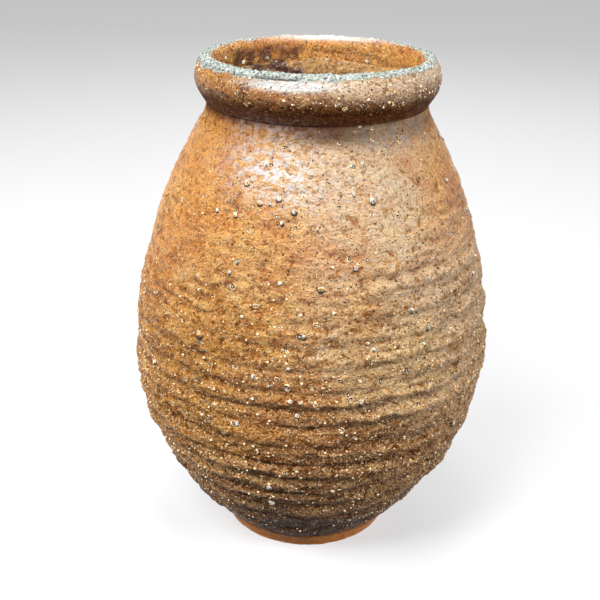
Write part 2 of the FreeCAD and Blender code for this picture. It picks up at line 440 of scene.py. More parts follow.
# One table of rows, in which neighbouring stretches share a row
rows = [stretches["foot"][:1]]
first_row = {}
last_row = {}
for stretch, path in stretches.items():
    first_row[stretch] = sum(len(part) for part in rows) - 1
    rows.append(path[1:])
    last_row[stretch] = first_row[stretch] + len(path) - 1
profile = np.concatenate(rows)
row_index = np.arange(len(profile))[:, None]

angles = np.arange(columns) * (2 * math.pi / columns)
azimuth = np.degrees(angles)[None, :]
radius = profile[:, :1]
height = profile[:, 1:]
along = np.concatenate([[0], np.cumsum(np.linalg.norm(np.diff(profile, axis=0), axis=1))])[:, None]


def around(radii, heights):
    """Points or directions in each column, from their part away from the axis and their part upwards."""
    return np.stack([radii * np.sin(angles), -radii * np.cos(angles), heights * np.ones(columns)], -1)


plain = around(radius, height)
way = np.gradient(profile, axis=0)
way /= np.linalg.norm(way, axis=1)[:, None]
outward = around(way[:, 1:], -way[:, :1])


# Where on the skin something is, from 0 to 1

def on(stretch_from, stretch_to=None):
    """1 on these stretches, and 0 elsewhere."""
    last = last_row[stretch_to or stretch_from]
    return ((row_index >= first_row[stretch_from]) & (row_index <= last)).astype(float)


def waves(name):
    """The sum of the noises of this uneven form. It may be below 0 or above 1."""
    return sum(
        strength * noise(plain, np.array((wide, wide, tall)) * mm, seed)
        for strength, wide, tall, seed in uneven_forms[name])


def facing(name, moved=0):
    """1 in the middle of this side of the jar. moved pushes it round, in degrees."""
    middle, spread = sides[name]
    return bell(turn_from(azimuth, middle) + moved, 0, spread)


def band(name, where=height):
    middle, reach = bands[name]
    return bell(where, middle * mm, reach * mm)


def patch(name, moved=0):
    """1 in the middle of this patch. moved pushes it round, in degrees."""
    middle, spread, level, reach = patches[name]
    return bell(turn_from(azimuth, middle) + moved, 0, spread) * bell(height, level * mm, reach * mm)


def slope(name, where=height):
    start, end = slopes[name]
    return smooth(where, start * mm, end * mm)


def arc(name, where=azimuth):
    return smooth(where, *arcs[name])


def length(name):
    """This length in each column."""
    base, changes = lengths[name]
    return mm * (base + sum(change * facing(side) for side, change in changes.items()))


outer_rows = on("lower", "neck")
rim_rows = on("roll", "lip")
body_rows = on("foot", "roll")
inside_rows = on("seam_coil", "floor")
coil_rows = on("seam_coil")

# Relief of the coils, of the scrapes between them, and of lumps and grit

coil_height = height + waver * waves("wander")
coil_index = np.clip(np.searchsorted(grooves, coil_height.ravel()) - 1, 0, len(grooves) - 2)
coil_index = coil_index.reshape(coil_height.shape)
coil_low = grooves[coil_index]
coil_high = grooves[coil_index + 1]
coil_share = np.clip((coil_height - coil_low) / (coil_high - coil_low), 0, 1)
coil_bulge = 1 - (2 * coil_share ** 0.75 - 1) ** 2
coil_strength = np.random.default_rng(coil_seed).uniform(*coil_strengths, len(grooves) - 1)[coil_index]
coil_unevenness = 1 + waves("coils")
ridge_strength = np.interp(height, ridge_heights, ridge_shares) * (1 + 1.1 * patch("strong_ridges"))
ridge = ridge_depth * ridge_strength * coil_strength * np.clip(coil_unevenness, 0.3, 2) * (coil_bulge - 0.35)

rough_right = patch("rough_right")
rough_low = slope("rough_low")
scrape = waves("scrapes")
scrape_strength = np.interp(height, scrape_heights, scrape_shares) * (1 + waves("scrape_patches"))
small_coils = small_coil_depth * np.minimum(1, ridge_strength * 1.3) * waves("small_coils")
relief = outer_rows * (ridge + scrape_depth * scrape_strength * scrape + small_coils)
calm = 1 - 0.75 * band("crease", along - along[first_row["roll"]])
relief += calm * mm * waves("lumps") * (0.9 + 2.6 * rough_right)
relief += calm * mm * waves("grit") * (0.7 + 0.7 * rough_low + 1.5 * rough_right)
relief *= 1 - 0.6 * on("foot")

# Crust on the lip, from inside the crest to the lip's outer edge
crest_row = first_row["lip"] + int(np.argmax(profile[first_row["lip"]:last_row["lip"], 1]))
crest_gap = along - along[crest_row]
outer_gap = crest_gap + length("crust_outer")
inner_gap = crest_gap - length("crust_inner")
stray = mm * waves("crust_edge")
crust = slope("crust_outer", outer_gap + stray) * slope("crust_inner", inner_gap + stray) * rim_rows
relief += crust * crust_rise * (np.abs(waves("crumbs")) + np.abs(waves("small_crumbs")) - 0.3)

# The crack between the turned lip and the rim coil, at the front left
crack_turn = turn_from(azimuth, crack_azimuth)
crack_window = arc("crack_left", crack_turn) * arc("crack_right", crack_turn)
crack = band("crack", outer_gap + mm * waves("crack_line")) * crack_window * rim_rows
crack = crack * smooth(waves("crack_gaps"), -0.75, -0.45)
relief -= crack_depth * crack

# Uneven rolling of the rim, then the smeared coil and the streaked wall inside
relief += on("roll") * (left_fullness * patch("full_left") + right_fullness * patch("full_right"))
relief += coil_rows * mm * waves("seam_coil")
relief += inside_rows * mm * waves("inside")

# Nothing may move the face that the jar stands on.
relief *= slope("foot", along)

skin = plain + outward * relief[..., None]

# Wavy upper edge of the smeared coil
edge_wave = mm * waves("seam_coil_edge") + length("coil_edge")
coil_along = along - along[first_row["seam_coil"]]
skin[..., 2] += coil_rows * edge_wave * band("coil_edge", coil_along) * slope("coil_edge", coil_along)

# Side sway of the lower body, and the lean
skin[..., 0] -= sway_depth * band("sway")
skin[..., 0] += lean * np.clip(skin[..., 2], 0, None)

across = np.roll(skin, -1, 1) - np.roll(skin, 1, 1)
normals = np.cross(across, np.gradient(skin, axis=0))
normals /= np.linalg.norm(normals, axis=-1, keepdims=True)


# Masks of the skin, which the materials read by name

masks = {}


def mask_coils():
    """Grooves with painted shade on the undersides of the coils, the upper faces of the coils where a painted
    highlight goes, scrapes of the walls, and where the clay is rough.
    """
    reach = groove_width * (1 + waves("groove_width"))
    above = bell(coil_height - coil_low, 0, reach)
    below = bell(coil_high - coil_height, 0, 0.45 * reach)
    broken = smooth(waves("groove_gaps"), -0.75, 0.35)
    cut = smooth(ridge_strength, 0.05, 0.65) * smooth(coil_unevenness * coil_strength, 0.1, 0.8)
    # Darker glaze in the grooves, widened upwards over the downward-facing underside of each coil as painted
    # shade.
    masks["groove"] = outer_rows * np.maximum(above, below) * cut * (0.3 + 0.7 * broken)
    # The upper, upward-facing part of each coil, where a painted highlight goes.
    masks["crest"] = outer_rows * bell(coil_share, 0.62, 0.26) * smooth(ridge_strength, 0.2, 0.9)
    masks["scraped"] = outer_rows * scrape_strength * smooth(scrape, -0.08, -0.4)
    masks["raised"] = outer_rows * scrape_strength * smooth(scrape, 0.1, 0.42)
    masks["rough"] = np.clip(0.4 + 0.6 * rough_low + 0.6 * rough_right + 0.5 * on("roll"), 0, 1)


def mask_fire():
    """Where ash and flame have coloured the outside, and where shade and highlights are painted on it: darker
    low down, a shadow under the rim, a shaded middle at the front, a haze and glare on the shoulder, and a
    lighter top to the rim on the right. Edges drift round the jar.
    """
    drift = waves("drift")
    ash_turn = turn_from(azimuth, 22 + 26 * slope("ash_turn")) + drift
    ash_front = bell(ash_turn, 0, 24 + 14 * slope("ash_spread")) * slope("ash_front")
    ash_back = facing("ash_back", drift) * slope("ash_back")
    masks["low_ash"] = patch("low_ash", drift)
    ash = np.clip(ash_front + 1.3 * masks["low_ash"] + 0.8 * ash_back, 0, 1)
    masks["ash"] = ash * body_rows * (1 - on("roll") * slope("ash_roll"))
    char_top = length("char_top")
    char_full = char_top - length("char_fade")
    # Charred clay low down, made darker still as painted shade where the wall faces down.
    masks["char_and_low_shade"] = smooth(height + mm * waves("char_edge"), char_top, char_full) * body_rows
    # A golden haze of ash on the shoulder that is partly a painted highlight, and a painted highlight inside
    # the far lip.
    glow = 0.4 * patch("glow_high", 0.5 * drift) + 0.6 * patch("glow_low", drift)
    masks["glow"] = body_rows * np.clip(glow, 0, 1)
    masks["glow"] += 0.6 * facing("far_lip_highlight") * slope("far_lip_highlight", crest_gap) * on("lip")
    # Painted glare: white patches of painted highlight on the shoulder.
    glare_turn = (height - glare_centre) * glare_slant + 0.5 * drift
    masks["painted_glare"] = patch("painted_glare", glare_turn) * body_rows
    # Painted shade in the middle of the front.
    masks["front_middle_shade"] = patch("front_middle_shade", 0.6 * drift) * body_rows
    masks["grey"] = patch("grey", 0.3 * drift) * on("shoulder", "neck")
    masks["warm"] = facing("warm") * slope("warm") * body_rows
    # A pinkish top to the rim on the right, partly pinkish ash and partly a painted highlight; and pinkish
    # ash on the right of the wall.
    masks["pink_ash_and_highlight"] = 1.8 * facing("pink_rim_highlight") * slope("pink_rim_highlight") * on("roll")
    masks["pink_ash_and_highlight"] = masks["pink_ash_and_highlight"] + 0.8 * patch("pink_wall", drift) * on("lower", "shoulder")
    masks["shade"] = (0.35 + 0.75 * facing("shade_neck")) * slope("shade_neck") * on("shoulder", "neck")
    masks["shade"] += 0.8 * facing("shade_foot") * slope("shade_foot") * on("lower")


def mask_rim():
    """Crust and crack of the lip, its painted highlight, and painted shade on the underside of the rim, on
    the lower side of the roll and on the neck just below it.
    """
    masks["crust"] = crust
    masks["crack"] = crack
    wave = mm * waves("under_edge")
    neck_wave = wave + length("under_neck")
    under_neck = slope("under_neck", height + neck_wave) * on("neck")
    # Painted shade on the underside of the rim and on the neck just below it.
    masks["under"] = np.clip(slope("under_roll", height + wave) * on("roll") + under_neck, 0, 1)
    # The lower side of the rim roll, painted darker as shade.
    masks["rim_underside_shade"] = slope("rim_underside_shade", height + 2 * wave) * on("roll")
    # Painted highlight along the lip: white at the front, faint on the right, and on the far inner edge.
    lip_highlight = 1.8 * band("lip_highlight_front", outer_gap) * facing("lip_highlight_front")
    lip_highlight = lip_highlight + 0.15 * band("lip_highlight_right", outer_gap) * facing("lip_highlight_right")
    lip_highlight = lip_highlight + 1.1 * band("lip_highlight_back", crest_gap) * facing("lip_highlight_back")
    masks["lip_highlight"] = np.clip(lip_highlight, 0, 1) * rim_rows


def mask_bare_places():
    """The bare foot, painted shadow with dark streaks inside the mouth on the left, painted shade further
    down inside, and pooled glaze inside.
    """
    masks["bare"] = slope("bare", height - slab_thickness - mm * waves("bare_edge")) * on("foot", "lower")
    # Painted shadow inside the mouth on the left, with dark streaks in it, and painted shade deeper inside.
    shadow_side = arc("inner_shadow_start", azimuth - waves("inner_shadow_edge")) * arc("inner_shadow_end")
    lip_shadow = shadow_side * (0.95 + waves("inner_shadow_streaks")) * slope("inner_shadow_lip") * on("lip", "inner_shoulder")
    masks["inner_shadow"] = np.clip(lip_shadow + slope("deep_inner_shade") * inside_rows, 0, 1)
    pool = band("pool", height - (jar_height - seam_coil_drop + edge_wave)) * slope("pool_lip", crest_gap)
    masks["pool"] = 0.4 * pool * arc("pool_end") * on("lip")


mask_coils()
mask_fire()
mask_rim()
mask_bare_places()


# Pieces

# Each point of the skin with its normal and its masks
mask_layers = [mask * np.ones((1, columns)) for mask in masks.values()]
surface = np.concatenate([skin, normals, np.stack(mask_layers, -1)], -1)
map_bands = 3
map_pad = 0.004


def link(name, data):
    """A new object in the scene."""
    item = bpy.data.objects.new(name, data)
    bpy.context.scene.collection.objects.link(item)
    return item


def new_object(name, points, faces):
    mesh = bpy.data.meshes.new(name)
    mesh.from_pydata(points, [], faces)
    mesh.update()
    piece = link(name, mesh)
    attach(piece, "root")
    return piece


class Ring:
    """A closed piece put together from rows round the jar, some of them hidden."""

    def __init__(self):
        self.rows = []
        self.shown = []

    def add_skin(self, stretch):
        first = first_row[stretch]
        last = last_row[stretch]
        self.rows.append(surface[first:last + 1])
        self.shown += [True] * (last - first) + [False]

    def add_hidden(self, hidden_radius, hidden_height):
        row = np.zeros((1, columns, surface.shape[-1]))
        row[0, :, :3] = around(hidden_radius, hidden_height)
        row[0, :, 0] += lean * hidden_height
        self.rows.append(row)
        self.shown += [False]

    def build(self, name, poles=()):
        """The piece, closed from its last row to its first, or at poles: row, point, and if it faces up."""
        rows = np.concatenate(self.rows)
        count = len(rows)
        corners = np.arange(count * columns).reshape(count, columns)
        after = np.roll(corners, -1, 1)
        strips = count - 1 if poles else count
        quads = np.stack([corners, after, np.roll(after, -1, 0), np.roll(corners, -1, 0)], -1)
        faces = quads[:strips].reshape(-1, 4)
        verts = rows[..., :3].reshape(-1, 3)
        fans = []
        for row, point, faces_up in poles:
            sides = (corners[row], after[row]) if faces_up else (after[row], corners[row])
            fans += np.stack([np.full(columns, len(verts)), *sides], -1).tolist()
            verts = np.concatenate([verts, [point]])
        piece = new_object(name, verts.tolist(), faces.tolist() + fans)
        mesh = piece.data
        for k, mask in enumerate(masks):
            layer = mesh.attributes.new(mask, "FLOAT", "POINT")
            filled = np.zeros(len(verts), np.float32)
            filled[:count * columns] = rows[..., 6 + k].ravel()
            layer.data.foreach_set("value", filled)
        self.shade(mesh, faces, rows[..., 3:6].reshape(-1, 3))
        self.unfold(mesh, strips, len(fans))
        return piece

    def shade(self, mesh, faces, skin_normals):
        """Corners of the skin take its normals, and hidden faces are flat."""
        mesh.polygons.foreach_set("use_smooth", [True] * len(mesh.polygons))
        flat = np.empty(len(mesh.polygons) * 3, np.float32)
        mesh.polygons.foreach_get("normal", flat)
        flat = flat.reshape(-1, 3)
        face_shown = np.repeat(np.array(self.shown[:len(faces) // columns]), columns)
        quads = np.where(face_shown[:, None, None], skin_normals[faces], flat[:len(faces), None, :])
        tris = np.repeat(flat[len(faces):], 3, 0)
        mesh.normals_split_custom_set(np.concatenate([quads.reshape(-1, 3), tris]).tolist())

    def unfold(self, mesh, strips, fan_count):
        """The map for baking: round the jar in bands that lie above one another."""
        share = np.arange(columns) / columns * map_bands
        band = np.floor(share)
        left = share - band
        right = left + map_bands / columns
        edges = (np.arange(strips + 1) / strips)[:, None]
        inset = 1 - 2 * map_pad
        u = map_pad + inset * np.stack([left, right, right, left], -1)
        v = map_pad + inset * np.stack([edges[:-1], edges[:-1], edges[1:], edges[1:]], -1)
        uv = np.stack(np.broadcast_arrays(u, (band[:, None] + v) / map_bands), -1)
        layer = mesh.uv_layers.new(name="OFBake")
        fans = np.zeros((fan_count * 3, 2))
        layer.data.foreach_set("uv", np.concatenate([uv.reshape(-1, 2), fans]).astype(np.float32).ravel())


# Colours

def tone(red, green, blue):
    """A colour written as on a screen, from 0 to 255."""
    shares = [value / 255 for value in (red, green, blue)]
    return tuple(c / 12.92 if c <= 0.04045 else ((c + 0.055) / 1.055) ** 2.4 for c in shares)


orange = tone(192, 118, 46)
golden = tone(216, 154, 68)
amber = tone(226, 148, 58)
# A reddish colour for mottling of the clay, and for painted shade in the front middle.
rust_and_shade_brown = tone(164, 92, 40)
ash_beige = tone(216, 193, 164)
ash_gold = tone(244, 206, 146)
ash_grey = tone(166, 162, 154)
pale_glaze = tone(230, 216, 198)
# A dark colour for grooves, pits and specks, and for painted shade.
groove_brown = tone(62, 31, 8)
# Dark colour of charred clay and of painted shade low down.
char_and_shade_brown = tone(102, 52, 27)
# A dark red for painted shade under the rim and for pooled glaze.
dark_red = tone(52, 19, 2)
scrape_brown = tone(122, 66, 22)
pin_dark = tone(36, 24, 16)
speck_white = tone(240, 219, 182)
grain_white = tone(226, 214, 190)
# Golden haze, partly a painted highlight.
haze_highlight_gold = tone(224, 182, 116)
# White of the painted glare on the shoulder.
glare_white = tone(226, 228, 230)
# Cream of the painted glints on the crests and the rough clay.
pale_gold = tone(236, 194, 128)
crest_glint_cream = tone(232, 182, 124)
# Colour of the painted shade on the lower side of the rim roll.
rim_shade_brown = tone(116, 62, 20)
crust_pale = tone(204, 213, 207)
crust_green = tone(156, 165, 152)
crust_dark = tone(44, 46, 38)
# White of the painted highlight on the lip.
lip_highlight_white = tone(240, 238, 232)
bare_orange = tone(196, 120, 40)
pink_beige = tone(240, 206, 172)
sand_gold = tone(170, 128, 72)
# Colour of the painted shadow and shade inside.
inner_shadow_brown = tone(74, 36, 22)
# Tan of the painted highlight on the crests low down.
lower_highlight_tan = tone(212, 158, 100)
stage_grey = tone(90, 90, 92)
stage_pale = tone(150, 150, 152)
white = (1, 1, 1)

# What painted shade in the hollows of the fine relief leaves of each of the three colours
hollow_shade_tint = (0.74, 0.54, 0.26)

# Noises of the materials: size in millimetres, detail, offset, how level the lumps lie, and roughness
grains = {
    "large": (28, 3), "middle": (9, 4, 0.3), "haze": (3.5, 4, 1.1), "fine": (1.5, 4, 0.7, 1, 0.7),
    "streak": (5, 3, 0.9, 3.5), "sliver": (3, 3, 5.3, 2.2, 0.6), "patch": (4.2, 4, 2.7, 1.5, 0.62),
    "sand": (0.8, 3, 1.7, 1, 0.65), "upright": (3, 3, 8.2, 0.3, 0.6), "glint": (1.2, 2, 6.1),
    "flake": (2.6, 4, 4.1, 1.5, 0.65), "inner_middle": (6, 4), "inner_fine": (1.4, 4, 0.5, 1, 0.7),
    "foot_middle": (8, 4), "foot_fine": (1.2, 3, 0.5), "foot_streak": (3, 3, 0.2, 2), "grain_tint": (4, 2),
    "grain_fine": (0.7, 3), "sand_tint": (3, 2), "sand_fine": (0.7, 2), "hollow_tint": (5, 2),
    "melt_tint": (2.5, 3), "pit_fine": (1, 2),
}

# Round spots: gap between cells and largest radius in millimetres, offset, and share of cells with a spot
dots = {
    "specks": (3.2, 1.1, 1.3, 1), "grit": (2.1, 0.75, 2.1, 0.75), "pins": (4, 1.15, 0.4, 1),
    "small_pins": (2.5, 0.85, 3.3, 0.8), "inner_specks": (3.4, 0.8, 0.9, 1),
}

# Depths of the finest relief
clay_bump = 9 * mm
dot_bump = 0.5 * mm
inner_bump = 3 * mm
foot_bump = 0.25 * mm
grain_bump = 1.2 * mm
sand_bump = 0.3 * mm
pit_bump = 0.2 * mm


# Materials

class Graph:
    """Nodes of a material or a world. A value is a number, a colour, a socket or the name of an output."""

    def __init__(self, owner):
        owner.use_nodes = True
        self.owner = owner
        self.tree = owner.node_tree
        self.tree.nodes.clear()
        self.place = self.add("TexCoord").outputs["Object"]
        self.named = {}
        self.colour = None

    def add(self, kind, fed=(), **settings):
        """A new node with these settings. fed gives pairs of an input and its value."""
        node = self.tree.nodes.new("ShaderNode" + kind)
        for key, value in settings.items():
            setattr(node, key, value)
        for key, value in dict(fed).items():
            self.feed(node.inputs[key], value)
        return node

    def output(self, name):
        """The noise, spots or mask with this name, made when it is first asked for."""
        if name not in self.named and name in grains:
            self.named[name] = self.noise(*grains[name])
        elif name not in self.named and name in dots:
            self.named[name] = self.spots(*dots[name])
        elif name not in self.named:
            self.named[name] = self.add("Attribute", attribute_name=name).outputs["Fac"]
        return self.named[name]

    def feed(self, socket, value):
        if isinstance(value, str):
            value = self.output(value)
        if isinstance(value, bpy.types.NodeSocket):
            self.tree.links.new(value, socket)
        elif socket.type == "RGBA":
            socket.default_value = (*value, 1)
        else:
            socket.default_value = value

    def math(self, operation, first, *others):
        """The operation done with each of the others in turn."""
        for other in others:
            first = self.add("Math", {0: first, 1: other}, operation=operation).outputs[0]
        return first

    def times(self, *values):
        return self.math("MULTIPLY", *values)

    def plus(self, *values):
        return self.math("ADD", *values)

    def spread(self, value, low, high, to_low=0, to_high=1):
        """value from low to high, eased, becomes to_low to to_high."""
        keys = ("Value", "From Min", "From Max", "To Min", "To Max")
        fed = zip(keys, (value, low, high, to_low, to_high))
        return self.add("MapRange", fed, interpolation_type="SMOOTHSTEP").outputs[0]

    def mix(self, a, b, share, blend="MIX"):
        fed = {0: share, 6: a, 7: b}
        return self.add("Mix", fed, data_type="RGBA", blend_type=blend).outputs[2]

    def paint(self, colour, *shares, blend="MIX"):
        """Lay a colour over the present one, as thick as all the shares multiplied."""
        self.colour = self.mix(self.colour, colour, self.times(*shares), blend)

    def moved(self, offset, scale=(1, 1, 1)):
        fed = {"Vector": self.place, "Location": offset, "Scale": scale}
        return self.add("Mapping", fed).outputs[0]

    def noise(self, size, detail, offset=0, level=1, rough=0.5):
        place = self.moved((offset, offset * 2, offset * 3), (1, 1, level))
        fed = {"Vector": place, "Scale": 1 / (2 * size * mm), "Detail": detail, "Roughness": rough}
        return self.add("TexNoise", fed).outputs["Fac"]

    def spots(self, gap, size, offset, share):
        fed = {"Vector": self.moved((offset, offset, offset)), "Scale": 1 / (gap * mm)}
        cells = self.add("TexVoronoi", fed, feature="F1")
        chances = self.add("SeparateColor", {0: cells.outputs["Color"]})
        filled = self.math("LESS_THAN", chances.outputs[1], share)
        reach = self.times(chances.outputs[0], size / gap, filled)
        return self.spread(cells.outputs["Distance"], reach, self.times(reach, 0.55))

    def bump(self, height, distance, **below):
        fed = {"Height": height, "Distance": distance, "Strength": 1, **below}
        return self.add("Bump", fed).outputs[0]

    def finish(self, roughness, normal, level=0.5):
        shader = self.add("BsdfPrincipled", {
            "Base Color": self.colour, "Roughness": roughness, "Normal": normal, "Specular IOR Level": level})
        self.add("OutputMaterial", {0: shader.outputs[0]})
        return self.owner


def new_graph(name):
    return Graph(bpy.data.materials.new(name))


def paint_ground(g):
    """Orange clay with golden clouds, pale with ash in front, a golden haze on the shoulder that is partly a
    painted highlight, and charred and painted darker below.
    """
    clouds = g.plus(g.times("large", 0.6), g.times("middle", 0.4))
    haze = g.spread(g.plus(g.times("middle", 0.5), g.times("haze", 0.5)), 0.38, 0.56)
    ash_clouds = g.spread(g.plus("middle", g.times("streak", 0.5)), 0.5, 0.85, 0.45)
    g.named["thick_ash"] = g.times("ash", ash_clouds)
    g.colour = g.mix(orange, golden, g.spread(clouds, 0.4, 0.62))
    g.paint(amber, "warm", g.spread("middle", 0.3, 0.8, 0.3, 0.8))
    g.paint(ash_beige, "thick_ash")
    # Golden haze on the shoulder, partly a painted highlight.
    g.paint(haze_highlight_gold, "glow", haze, 0.85)
    # Charred clay and painted shade low down.
    g.paint(char_and_shade_brown, "char_and_low_shade", g.spread("middle", 0.2, 0.8, 0.85))


def paint_coils(g):
    """Painted highlight on the upper faces of the coils, scrapes, and grooves with painted shade on the
    undersides of the coils, and painted shade in the hollows and painted highlight on the tops of the level
    broken patches between them.
    """
    g.named["bared"] = g.math("SUBTRACT", 1, g.plus(g.times("low_ash", 0.5), g.times("warm", 0.35)))
    clear_of_char_and_shade = g.math("SUBTRACT", "bared", g.times("char_and_low_shade", 0.4))
    crest_highlight_tone = g.mix(golden, lower_highlight_tan, "char_and_low_shade")
    hollow_and_shadow = g.times(g.spread("patch", 0.46, 0.36), g.spread("thick_ash", 0, 1, 0.8, 0.4))
    # Painted highlight on the upper faces of the coils, with painted cream glints along them.
    g.paint(crest_highlight_tone, "crest", clear_of_char_and_shade, g.spread("streak", 0.3, 0.55, 0.25))
    g.paint(crest_glint_cream, "crest", g.spread("sliver", 0.5, 0.62, 0, 0.85))
    g.paint(ash_gold, "low_ash", g.spread("middle", 0.35, 0.6, 0.55, 0.95))
    g.paint(scrape_brown, "scraped", g.spread("sliver", 0.3, 0.6, 1, 0.5))
    g.paint(pale_gold, "raised", g.spread("sliver", 0.4, 0.6, 0, 0.6))
    # Painted shade on the undersides of the coils, over the darker glaze in the grooves.
    g.paint(groove_brown, "groove", "bared", g.spread("streak", 0.3, 0.65, 0.9, 0.6))
    # Pinkish ash, and a painted highlight on the top of the rim on the right.
    g.paint(pink_beige, "pink_ash_and_highlight", g.spread("middle", 0.25, 0.48))
    # Painted shade in the middle of the front.
    g.paint(rust_and_shade_brown, "front_middle_shade", 0.5)
    # Painted shade on the lower side of the rim roll.
    g.paint(rim_shade_brown, "rim_underside_shade", g.spread("middle", 0.3, 0.7, 1, 0.75))
    # Painted shade in the hollows of the level broken patches of relief.
    g.paint(groove_brown, hollow_and_shadow, "bared", "rough")
    # Painted highlight on the tops of those patches.
    g.paint(crest_highlight_tone, g.spread("patch", 0.55, 0.68), clear_of_char_and_shade, 0.45)


def paint_grain(g):
    """Grain of the clay, painted shade in the hollows of its fine relief, painted glints, and grit and pins
    in it.
    """
    grain_tone = g.mix(pale_gold, speck_white, g.times("char_and_low_shade", 0.6))
    shade_relief = g.plus(g.times("patch", 0.45), g.times("fine", 0.55))
    g.paint(groove_brown, g.spread("sand", 0.49, 0.4), "bared", g.plus(0.08, g.times("rough", 0.22)))
    g.paint(grain_tone, g.spread("sand", 0.52, 0.59), g.plus(0.3, g.times("rough", 0.1)))
    g.paint(rust_and_shade_brown, g.spread("fine", 0.5, 0.38), 0.35)
    # Painted shade multiplied into the low places of the fine relief.
    g.paint(hollow_shade_tint, g.spread(shade_relief, 0.48, 0.42), blend="MULTIPLY")
    g.paint(ash_grey, "grey", g.spread("upright", 0.44, 0.54, 0.35))
    # Painted glints on the crests and the rough clay, and dark specks at the same scale.
    g.paint(crest_glint_cream, g.spread("glint", 0.58, 0.67), "rough", g.plus(0.3, g.times("crest", 0.5)))
    g.paint(groove_brown, g.spread("glint", 0.42, 0.33), "bared", "rough", 0.5)
    g.paint(speck_white, "specks", g.spread("rough", 0.3, 1, 0.4, 0.95))
    g.paint(speck_white, "grit", g.spread("rough", 0.3, 1, 0.3, 0.7))
    g.paint(pin_dark, "pins", 0.9)
    g.paint(groove_brown, "small_pins", 0.8)


def paint_edges(g):
    """Painted shade and shadow, painted glare on the shoulder, the bare foot, and the crusted lip with its
    painted highlight and its crack.
    """
    crust_tone = g.mix(crust_pale, crust_green, g.spread("fine", 0.42, 0.58))
    crust_tone = g.mix(crust_tone, crust_dark, g.spread("sand", 0.47, 0.4, 0, 0.9))
    g.paint(groove_brown, "shade", 0.8)
    # Painted shade on the underside of the rim and on the neck below it.
    g.paint(dark_red, "under", g.spread("fine", 0.3, 0.6, 1, 0.82))
    # Painted shadow and shade inside.
    g.paint(inner_shadow_brown, "inner_shadow", 0.85)
    g.paint(dark_red, "pool", 0.8)
    # Painted glare on the shoulder.
    g.paint(glare_white, "painted_glare", g.spread("flake", 0.42, 0.58, 0.1, 0.85))
    g.paint(g.mix(bare_orange, rust_and_shade_brown, g.spread("middle", 0.4, 0.8)), "bare")
    g.paint(crust_tone, "crust", g.spread("middle", 0.2, 0.45, 0.75))
    # Painted highlight along the lip.
    g.paint(lip_highlight_white, "lip_highlight", g.spread("fine", 0.3, 0.45, 0.4))
    g.paint(pin_dark, "crack")


def clay_roughness(g):
    """Glossy where the glaze is bare of ash, and dull on crust, in grooves and under the rim."""
    glaze = g.spread("thick_ash", 0, 1, 0.22, 0.4)
    grain = g.spread("fine", 0.3, 0.7, 0.08, -0.06)
    return g.plus(glaze, grain, g.times(g.math("MAXIMUM", "crust", "under"), 0.4), g.times("groove", 0.3))


def clay_normal(g):
    """Fine relief of the grain, with the specks raised and the pins sunk. It is weak under the rim."""
    calm = g.math("SUBTRACT", 1, g.times("under", 0.75))
    broken = g.times("patch", g.plus(0.4, "rough"))
    texture = g.plus(g.times("fine", 0.65), g.times("sand", 0.55), broken)
    normal = g.bump(g.times(texture, g.plus(0.55, g.times("rough", 0.55)), calm), clay_bump)
    sunk = g.times(g.plus("pins", "small_pins"), -1)
    raised = g.plus(g.times("specks", 0.8), g.times("grit", 0.6))
    return g.bump(g.times(g.plus(sunk, raised), calm), dot_bump, Normal=normal)


def glazed_clay(name, shine):
    """Gritty orange clay under a thin glaze of ash, for the walls and the rim. Low down it is drier."""
    g = new_graph(name)
    paint_ground(g)
    paint_coils(g)
    paint_grain(g)
    paint_edges(g)
    return g.finish(clay_roughness(g), clay_normal(g), shine)


def rough_clay():
    """Rough sandy clay inside, with painted shadow on its left and painted shade further down."""
    g = new_graph("rough_inner_clay")
    g.colour = g.mix(sand_gold, rust_and_shade_brown, g.spread("inner_middle", 0.5, 0.75, 0, 0.7))
    g.paint(inner_shadow_brown, "inner_shadow")
    g.paint(groove_brown, g.spread("inner_fine", 0.48, 0.36, 0, 0.7))
    g.paint(pale_glaze, g.spread("inner_fine", 0.54, 0.68, 0, 0.5))
    g.paint(speck_white, "inner_specks", 0.7)
    normal = g.bump(g.plus("inner_fine", g.times("inner_specks", 0.2)), inner_bump)
    return g.finish(g.spread("inner_fine", 0.3, 0.7, 0.75, 0.5), normal)


def bare_clay():
    """Unglazed clay of the foot."""
    g = new_graph("bare_clay")
    g.colour = g.mix(bare_orange, rust_and_shade_brown, g.spread("foot_middle", 0.4, 0.8))
    g.paint(char_and_shade_brown, g.spread("foot_streak", 0.6, 0.4, 0, 0.4))
    return g.finish(g.spread("foot_fine", 0.3, 0.7, 0.6, 0.45), g.bump("foot_fine", foot_bump), 0.12)


def feldspar():
    """Grains of feldspar that have come out of the clay, half melted."""
    g = new_graph("feldspar")
    g.colour = g.mix(grain_white, ash_grey, g.spread("grain_tint", 0.45, 0.6, 0, 0.6))
    g.paint(golden, g.spread("grain_tint", 0.47, 0.36, 0, 0.8))
    g.paint(crust_dark, g.spread("grain_fine", 0.5, 0.4, 0, 0.85))
    return g.finish(0.3, g.bump("grain_fine", grain_bump), 0.25)


def small_matter(name, tone_a, tone_b, tint, change, fine, depth, roughness, level=0.5):
    """Sand, dark pits and painted shadows under grains, or melted beads: two colours in clouds of this tint,
    and fine relief.
    """
    g = new_graph(name)
    g.colour = g.mix(tone_a, tone_b, g.spread(tint, *change))
    return g.finish(roughness, g.bump(fine, depth), level)


# The jar, a skin for each node

glossy = glazed_clay("glossy_glazed_clay", 0.34)
glazed = glazed_clay("ash_glazed_clay", 0.15)
dry = glazed_clay("dry_glazed_clay", 0.05)
rough_inside = rough_clay()
sand = small_matter(
    "feldspar_sand", speck_white, golden, "sand_tint", (0.4, 0.6, 0, 0.35), "sand_fine", sand_bump, 0.5, 0.2)
